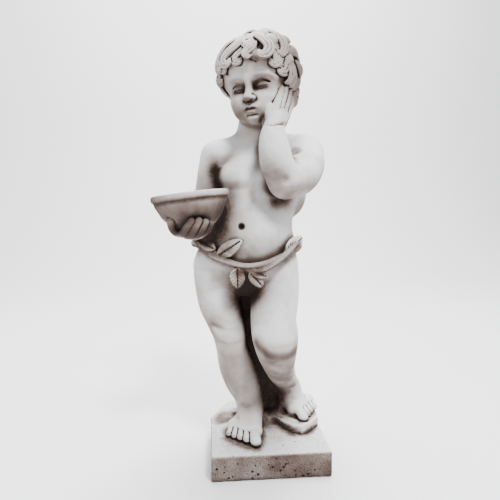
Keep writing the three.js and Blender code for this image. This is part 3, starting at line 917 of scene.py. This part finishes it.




# Points under the bowl's rim, where painted shadow is laid.
RIM_TURNS = np.radians(range(180, 361, 15))
UNDER_RIM = [BOWL + LEAN @ (60.5 * math.cos(a), 60.5 * math.sin(a), -12) for a in RIM_TURNS]
# Dirt and painted shade in the hollows: between the legs, round the feet and the slab, between the bowl, the
# hand and the body, under the bowl's rim and round the arms, the chin and the vine: a path, how far it
# spreads and how thick it is.
STAINS_AND_SHADE = [
    ([(-40, -56, 324), (-36, -40, 312), (-34, -6, 284), (-31, 6, 224), (-20, 8, 181), (0, 12, 123),
      (14, 12, 78)], 22, 6.5),
    ([(16, 10, 60), (34, -10, 48), (46, -34, 46)], 11, 2.2),
    ([(-4, -4, 48), (-2, 20, 56), (10, 40, 60)], 22, 2.4),
    ([(-82, 22, 46), (-62, 26, 46)], 15, 2.2),
    ([(-74, -50, 44), (-60, -66, 44), (-40, -84, 44), (-22, -90, 44)], 7, 2.2),
    ([(62, -30, 58), (80, -16, 60), (98, 10, 60)], 7, 1.6),
    ([(14, 10, 52), (30, -18, 48), (46, -44, 46)], 9, 3.0),
    ([(-90, -48, 418), (-86, -54, 440), (-80, -58, 458), (-74, -60, 474)], 14, 7.0),
    ([(-116, -60, 400), (-100, -52, 402), (-90, -54, 420)], 18, 4.5),
    ([(-145, -112, 427), (-140, -118, 431)], 6, 3.6),
    (UNDER_RIM, 3.6, 2.4),
    ([(-90, -24, 516), (-88, -26, 502), (-88, -28, 488), (-88, -30, 470)], 11, 5.5),
    ([(12, -52, 464), (30, -46, 468), (44, -40, 476)], 11, 3.0),
    ([(6, -56, 500), (-2, -58, 530), (-6, -54, 560)], 8, 2.4),
    ([(-11, -56, 560), (-10, -64, 584), (-8, -72, 602)], 3.2, 2.8),
    ([(44, -50, 550), (40, -40, 556)], 7, 3.2),
    ([(28, -58, 585), (38, -44, 590)], 9, 2.6),
    ([(-54, -70, 346), (-40, -72, 342), (-14, -70, 344)], 12, 3.6),
    ([(-44, -56, 316), (-30, -56, 316), (-37, -40, 298)], 17, 6.5),
    ([(-88, -56, 362), (-70, -64, 354)], 7, 2.4),
    ([(-84, -58, 384), (-66, -66, 382), (-50, -72, 374), (-30, -74, 366)], 8, 2.4),
    ([(-118, -28, 402), (-100, -44, 400)], 9, 3.0),
    ([(-6, -66, 344), (14, -60, 354), (36, -46, 368)], 8, 2.6),
]
# Painted shade on the face: in the eye openings and lid folds, under the nose, in the mouth's parting and
# under the hair over the brow.
HEAD_STAINS_AND_SHADE = [
    ([(-13, -58, -16.5), (-20, -60, -17), (-28, -56, -17.5)], 3.2, 2.6),
    ([(13, -58, -16.5), (20, -60, -17), (28, -56, -17.5)], 3.2, 2.8),
    ([(-11, -58, -9), (-22, -58, -7)], 5, 1.3),
    ([(11, -58, -9), (22, -58, -7)], 5, 1.5),
    ([(-9, -60, -10), (-9, -58, -17)], 5, 1.7),
    ([(9, -60, -10), (9, -58, -17)], 5, 2.0),
    ([(-5, -72, -36), (5, -72, -36)], 4.0, 2.4),
    ([(-12, -62, -49), (-4, -69, -47.4), (0, -70, -48.2), (4, -69, -47.4), (12, -62, -49)], 2.2, 3.4),
    ([(-36, -56, 24), (0, -70, 30), (36, -56, 24)], 7, 1.0),
]
# Broad brown tints, part the stone's browning and part painted shade: over the bowl and the right hand,
# under the elbow and the knees, down the legs and across the body.
BROWNING_AND_SHADE = [
    ([(-184, -94, 456), (-133, -124, 442), (-84, -98, 450)], 27, 3.2),
    ([(-158, -112, 414), (-132, -124, 410), (-102, -116, 416)], 22, 3.7),
    ([(-112, 10, 446), (-124, -44, 424)], 26, 1.2),
    ([(-74, -20, 330), (-58, -24, 260), (-44, -24, 200)], 22, 0.6),
    ([(-6, -60, 340), (-16, -50, 280), (-18, -50, 230)], 20, 0.8),
    ([(-72, -30, 205), (-46, -14, 140), (-34, -12, 90)], 28, 0.95),
    ([(-24, -74, 222), (-6, -86, 206), (16, -90, 202), (40, -74, 206)], 13, 2.2),
    ([(6, -40, 170), (26, -10, 135), (44, 10, 105)], 22, 1.0),
    ([(-80, -70, 400), (-76, -70, 440), (-82, -50, 480)], 26, 1.0),
    ([(-110, -10, 500), (-108, -8, 460)], 20, 0.6),
    ([(-40, -40, 590), (-10, -52, 580)], 22, 0.9),
    ([(20, -60, 470), (50, -30, 460)], 22, 0.8),
]
# Over the head, part browning and part painted shade: under the hair, down one side, round the eyes and
# round the mouth.
HEAD_BROWNING_AND_SHADE = [
    ([(-10, 16, 40), (10, 16, 40)], 88, 0.75),
    ([(54, -6, 30), (58, 10, -20)], 46, 1.9),
    ([(-30, -54, -12), (30, -54, -12)], 15, 1.1),
    ([(-14, -62, -50), (14, -62, -50)], 11, 0.6),
]


def gathered_dirt_and_shade(points, body, head):
    """How much of the listed dirt, browning and painted shade lies on each point."""
    out = np.zeros(len(points))
    listed = [(np.array(path, float), reach, much) for path, reach, much in body]
    listed += [(np.array([HEAD.at(p) for p in path]), reach, much) for path, reach, much in head]
    for path, reach, much in listed:
        near = None
        for a, b in zip(path[:-1], path[1:]):
            way = b - a
            t = np.clip((points - a) @ way / (way @ way), 0, 1)
            d = np.linalg.norm(points - a - t[:, None] * way, axis=1)
            near = d if near is None else np.minimum(near, d)
        out = np.maximum(out, much * np.exp(-np.square(near / reach)))
    return out


def stains_and_shade(points):
    """Dirt and painted shade in the hollows, with a band of painted shade along the vine's edges."""
    ring = curve(VINE, 4)
    near = np.min([np.linalg.norm(points - p, axis=1) for p in ring], axis=0)
    # A band of painted shade along both edges of the vine, where it meets the body.
    along = 2.2 * np.exp(-np.square((near - 9.0) / 4.0))
    return np.maximum(gathered_dirt_and_shade(points, STAINS_AND_SHADE, HEAD_STAINS_AND_SHADE), along)


# ---- the statue as a mesh ----


def link(made):
    bpy.context.scene.collection.objects.link(made)


def make_mesh(name, vertices, quads):
    mesh = bpy.data.meshes.new(name)
    mesh.vertices.add(len(vertices))
    mesh.vertices.foreach_set("co", single(vertices / 1000).ravel())
    mesh.loops.add(quads.size)
    mesh.loops.foreach_set("vertex_index", quads.astype(np.int32).ravel())
    mesh.polygons.add(len(quads))
    mesh.polygons.foreach_set("loop_start", np.arange(0, quads.size, 4, dtype=np.int32))
    mesh.update(calc_edges=True)
    return mesh


def thin(mesh, name, most):
    """The mesh of quads as no more than that many triangles, kept dense where the carving is fine."""
    triangles = 2 * len(mesh.polygons)
    rough = bpy.data.objects.new(name, mesh)
    link(rough)
    if triangles > most:
        fewer = rough.modifiers.new("fewer", "DECIMATE")
        fewer.ratio = most / triangles
        fewer.use_collapse_triangulate = True
    done = rough.evaluated_get(bpy.context.evaluated_depsgraph_get())
    made = bpy.data.meshes.new_from_object(done)
    bpy.data.objects.remove(rough)
    made.name = name
    return made


def main_body(vertices, quads):
    """Only the largest connected piece of the surface."""
    label = np.arange(len(vertices))
    a = np.concatenate([quads[:, i] for i in range(4)])
    b = np.concatenate([quads[:, (i + 1) % 4] for i in range(4)])
    while True:
        low = np.minimum(label[a], label[b])
        new = label.copy()
        np.minimum.at(new, a, low)
        np.minimum.at(new, b, low)
        new = new[new]
        new = new[new]
        if (new == label).all():
            break
        label = new
    kept = label == np.bincount(label).argmax()
    number = np.cumsum(kept) - 1
    return vertices[kept], number[quads[kept[quads[:, 0]]]]


def weather_and_shade(mesh, clay):
    """Stores how deep in a crease, a fold or a hollow each vertex lies, and how much dirt, browning and
    painted shade lies on it.
    """
    count = len(mesh.vertices)
    place = np.empty(count * 3, np.float32)
    normal = np.empty(count * 3, np.float32)
    mesh.vertices.foreach_get("co", place)
    mesh.vertex_normals.foreach_get("vector", normal)
    place, normal = place.reshape(-1, 3) * 1000, normal.reshape(-1, 3)
    # For each: how wide the neighbourhood is, its cells, and how far out from the surface it is taken.
    scales = {"crease": (2.6, 1, 0.8), "fold": (6.0, 2, 2.0), "hollow": (13.0, 2, 4.0)}
    layers = {name: sample(*blurred_fill(clay, radius, coarse), place + normal * out)
              for name, (radius, coarse, out) in scales.items()}
    # The listed marks: dirt with painted shade in the hollows, and broad browning with painted shade.
    layers["stain_and_shade"], layers["browning_and_shade"] = stains_and_shade(place), gathered_dirt_and_shade(place, BROWNING_AND_SHADE, HEAD_BROWNING_AND_SHADE)
    for name, value in layers.items():
        layer = mesh.attributes.new(name, "FLOAT", "POINT")
        layer.data.foreach_set("value", single(value))


def build_statue():
    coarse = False
    clay = Clay(LOW, HIGH, QUICK_STEP if coarse else STEP)
    model(clay)
    vertices, quads = main_body(*surface(clay))
    vertices[:, 2] = np.maximum(vertices[:, 2], 0)
    most = QUICK_TRIANGLES if coarse else MOST_TRIANGLES
    mesh = thin(make_mesh("carved", vertices, quads), "statue", most)
    for vertex in mesh.vertices:
        vertex.co.z = max(vertex.co.z, 0)
    weather_and_shade(mesh, clay)
    mesh.shade_smooth()
    statue = bpy.data.objects.new("statue", mesh)
    link(statue)
    return statue


# ---- stone ----


class Nodes:
    """Short ways to lay out a shader."""

    def __init__(self, material):
        material.use_nodes = True
        self.tree = material.node_tree
        self.tree.nodes.clear()

    def add(self, kind, values=(), **settings):
        node = self.tree.nodes.new(kind)
        for key, value in settings.items():
            setattr(node, key, value)
        for key, value in dict(values).items():
            if hasattr(value, "is_output"):
                self.tree.links.new(value, node.inputs[key])
            else:
                node.inputs[key].default_value = value
        return node

    def math(self, operation, a, b=0.0, clamp=False):
        return self.add("ShaderNodeMath", {0: a, 1: b}, operation=operation, use_clamp=clamp).outputs[0]

    def times(self, a, b):
        return self.math("MULTIPLY", a, b)

    def plus(self, a, b):
        return self.math("ADD", a, b)

    def less(self, a, b):
        return self.math("SUBTRACT", a, b)

    def most(self, a, b):
        return self.math("MAXIMUM", a, b)

    def ramp(self, value, low, high, to_low=0.0, to_high=1.0):
        node = self.add("ShaderNodeMapRange", {0: value, 1: low, 2: high, 3: to_low, 4: to_high},
                        interpolation_type="SMOOTHSTEP")
        return node.outputs[0]

    def noise(self, place, scale, detail=3.0, roughness=0.55):
        node = self.add("ShaderNodeTexNoise", {"Vector": place, "Scale": scale, "Detail": detail,
                                               "Roughness": roughness})
        return node.outputs["Fac"]

    def attribute(self, name):
        return self.add("ShaderNodeAttribute", attribute_name=name).outputs["Fac"]


# The bare stone, and the share of its red, green and blue that shows through one layer of the film of dirt
# and painted shade.
PALE = 0.73
SEEN_THROUGH = (0.418, 0.358, 0.328)
THICKEST = 4.8
# Heights on the base, in metres: its top, and where the slab's top ends.
BASE_EDGE, BASE_TOP, SLAB_TOP = 0.040, 0.044, 0.066


def stone():
    """Pale cast stone under a film of dirt and painted shade; what shows through falls away evenly as the
    film thickens.
    """
    material = bpy.data.materials.new("cast_stone")
    n = Nodes(material)
    place = n.add("ShaderNodeNewGeometry")
    position = place.outputs["Position"]
    facing = n.add("ShaderNodeSeparateXYZ", {0: place.outputs["Normal"]}).outputs["Z"]
    height = n.add("ShaderNodeSeparateXYZ", {0: position}).outputs["Z"]
    cloud = n.noise(position, 22)
    grain = n.noise(position, 170)
    fine = n.noise(position, 620, 2)
    speckle = n.less(grain, 0.5)
    # Creases, folds and hollows are darkened by dirt and painted shade; the listed stains, dirt with painted
    # shade in them, are weakened where the stone stands proud.
    crease = n.ramp(n.plus(n.attribute("crease"), n.times(speckle, 0.08)), 0.330, 0.48, 0.0, 3.8)
    hollow = n.plus(n.attribute("hollow"), n.times(n.less(cloud, 0.5), 0.14))
    hollow = n.ramp(hollow, 0.30, 0.64, 0.0, 3.4)
    fold = n.ramp(n.attribute("fold"), 0.36, 0.58, 0.0, 2.3)
    proud = n.ramp(n.attribute("hollow"), 0.15, 0.27, 0.40, 1.0)
    stain_and_shade = n.times(n.attribute("stain_and_shade"), n.plus(n.times(speckle, 1.1), 1.0))
    stain_and_shade = n.times(stain_and_shade, proud)
    film = n.most(n.most(crease, hollow), n.most(fold, stain_and_shade))
    # Broad brown tints, part browning and part painted shade, mottled by the cloud noise.
    browning_and_shade = n.times(n.attribute("browning_and_shade"), n.ramp(cloud, 0.25, 0.75, 0.75, 1.15))
    # Painted shade on faces that turn downward, mottled by the cloud noise.
    under = n.times(n.ramp(facing, 0.15, -0.60), n.ramp(cloud, 0.3, 0.7, 0.9, 1.7))
    # The block's sides are darkened all over, most along the ground.
    foot = n.ramp(height, 0.046, BASE_EDGE)
    side = n.times(foot, n.less(1.0, n.ramp(facing, 0.6, 0.9)))
    side = n.times(side, n.ramp(cloud, 0.3, 0.75, 1.4, 2.4))
    low_edge = n.times(n.ramp(height, 0.009, 0.001), 0.8)
    side = n.plus(side, n.times(low_edge, foot))
    film = n.plus(film, n.most(n.most(browning_and_shade, under), side))
    film = n.plus(film, n.ramp(cloud, 0.45, 0.75, 0.0, 0.25))
    grit = n.times(n.less(fine, 0.49), n.ramp(height, SLAB_TOP, BASE_TOP, 0.15, 3.2))
    film = n.plus(film, n.most(grit, -0.3))
    # Pinholes, thick on the base and few on the figure.
    cells = n.add("ShaderNodeTexVoronoi", {"Vector": position, "Scale": 230.0, "Randomness": 1.0})
    spots = n.ramp(cells.outputs["Distance"], 0.24, 0.12)
    much = n.times(n.ramp(height, 0.070, BASE_TOP), 0.27)
    patch = n.ramp(n.noise(position, 60, 2), n.less(0.78, much), n.less(0.84, much))
    pits = n.math("MULTIPLY", spots, patch, True)
    film = n.plus(film, n.times(pits, 3.2))
    film = n.most(n.math("MINIMUM", film, THICKEST), 0.0)
    mixed = n.add("ShaderNodeCombineColor", {})
    for i, share in enumerate(SEEN_THROUGH):
        n.tree.links.new(n.times(n.math("POWER", share, film), PALE), mixed.inputs[i])
    surface_height = n.plus(n.times(grain, 0.5), n.times(fine, 0.5))
    surface_height = n.less(surface_height, n.times(pits, 1.2))
    bump = n.add("ShaderNodeBump", {"Strength": 0.35, "Distance": 0.0012, "Height": surface_height})
    shader = n.add("ShaderNodeBsdfPrincipled", {"Base Color": mixed.outputs[0], "Roughness": 0.82,
                                                "Metallic": 0.0, "Normal": bump.outputs[0]})
    shader.inputs["Specular IOR Level"].default_value = 0.25
    n.add("ShaderNodeOutputMaterial", {"Surface": shader.outputs[0]})
    return material


# ---- floor, light and camera ----


def plain(name, colour):
    material = bpy.data.materials.new(name)
    n = Nodes(material)
    shader = n.add("ShaderNodeBsdfPrincipled", {"Base Color": (*colour, 1), "Roughness": 0.9})
    shader.inputs["Specular IOR Level"].default_value = 0.1
    n.add("ShaderNodeOutputMaterial", {"Surface": shader.outputs[0]})
    return material


def sweep():
    """A pale floor that curves up into the backdrop."""
    near, back, bend, top, half_width = -4.0, 1.6, 1.2, 5.0, 6.0
    line = [(near, 0.0), (back, 0.0)]
    line += [(back + bend * math.sin(a), bend - bend * math.cos(a)) for a in np.radians(range(10, 91, 10))]
    line += [(2.8, top)]
    points = [(x, y, z) for y, z in line for x in (-half_width, half_width)]
    faces = [(2 * i, 2 * i + 1, 2 * i + 3, 2 * i + 2) for i in range(len(line) - 1)]
    mesh = bpy.data.meshes.new("floor")
    mesh.from_pydata(points, [], faces)
    mesh.shade_smooth()
    floor = bpy.data.objects.new("floor", mesh)
    mesh.materials.append(plain("pale_floor", (0.86, 0.86, 0.865)))
    link(floor)


def lamp(name, place, aim, size, power, colour=(1, 1, 1)):
    data = bpy.data.lights.new(name, "AREA")
    data.shape, data.size, data.energy, data.color = "DISK", size, power, colour
    light = bpy.data.objects.new(name, data)
    light.location = place
    light.rotation_euler = (Vector(aim) - Vector(place)).to_track_quat("-Z", "Y").to_euler()
    link(light)


def studio():
    lamp("key", (0.55, -1.45, 2.5), (0, 0, 0.4), 0.6, 118, (0.965, 0.985, 1.0))
    lamp("fill", (-1.7, -1.3, 1.1), (0, 0, 0.4), 1.0, 12)
    lamp("top", (0.2, 0.6, 2.4), (0, 0, 0.4), 1.0, 42)
    lamp("wall", (0.0, 0.6, 3.4), (0, 3.0, 0.6), 2.5, 320)
    world = bpy.data.worlds.new("soft")
    world.use_nodes = True
    back = world.node_tree.nodes["Background"]
    back.inputs["Color"].default_value = (0.95, 0.97, 1.0, 1)
    back.inputs["Strength"].default_value = 0.13
    bpy.context.scene.world = world


def camera():
    """A level viewpoint at the figure's waist, a little to its right, looking slightly down."""
    data = bpy.data.cameras.new("camera")
    data.sensor_width, data.lens = 36.0, 31.7
    turn, dip = math.radians(4.9), math.radians(-4.94)
    look = Vector((math.sin(turn) * math.cos(dip), math.cos(turn) * math.cos(dip), math.sin(dip)))
    eye = bpy.data.objects.new("camera", data)
    eye.location = (-0.097, -0.802, 0.446)
    eye.rotation_euler = look.to_track_quat("-Z", "Y").to_euler()
    link(eye)
    bpy.context.scene.camera = eye


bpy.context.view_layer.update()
statue = build_statue()
statue.data.materials.append(stone())
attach(statue, "root")
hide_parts("cherub_statue")
sweep()
studio()
camera()
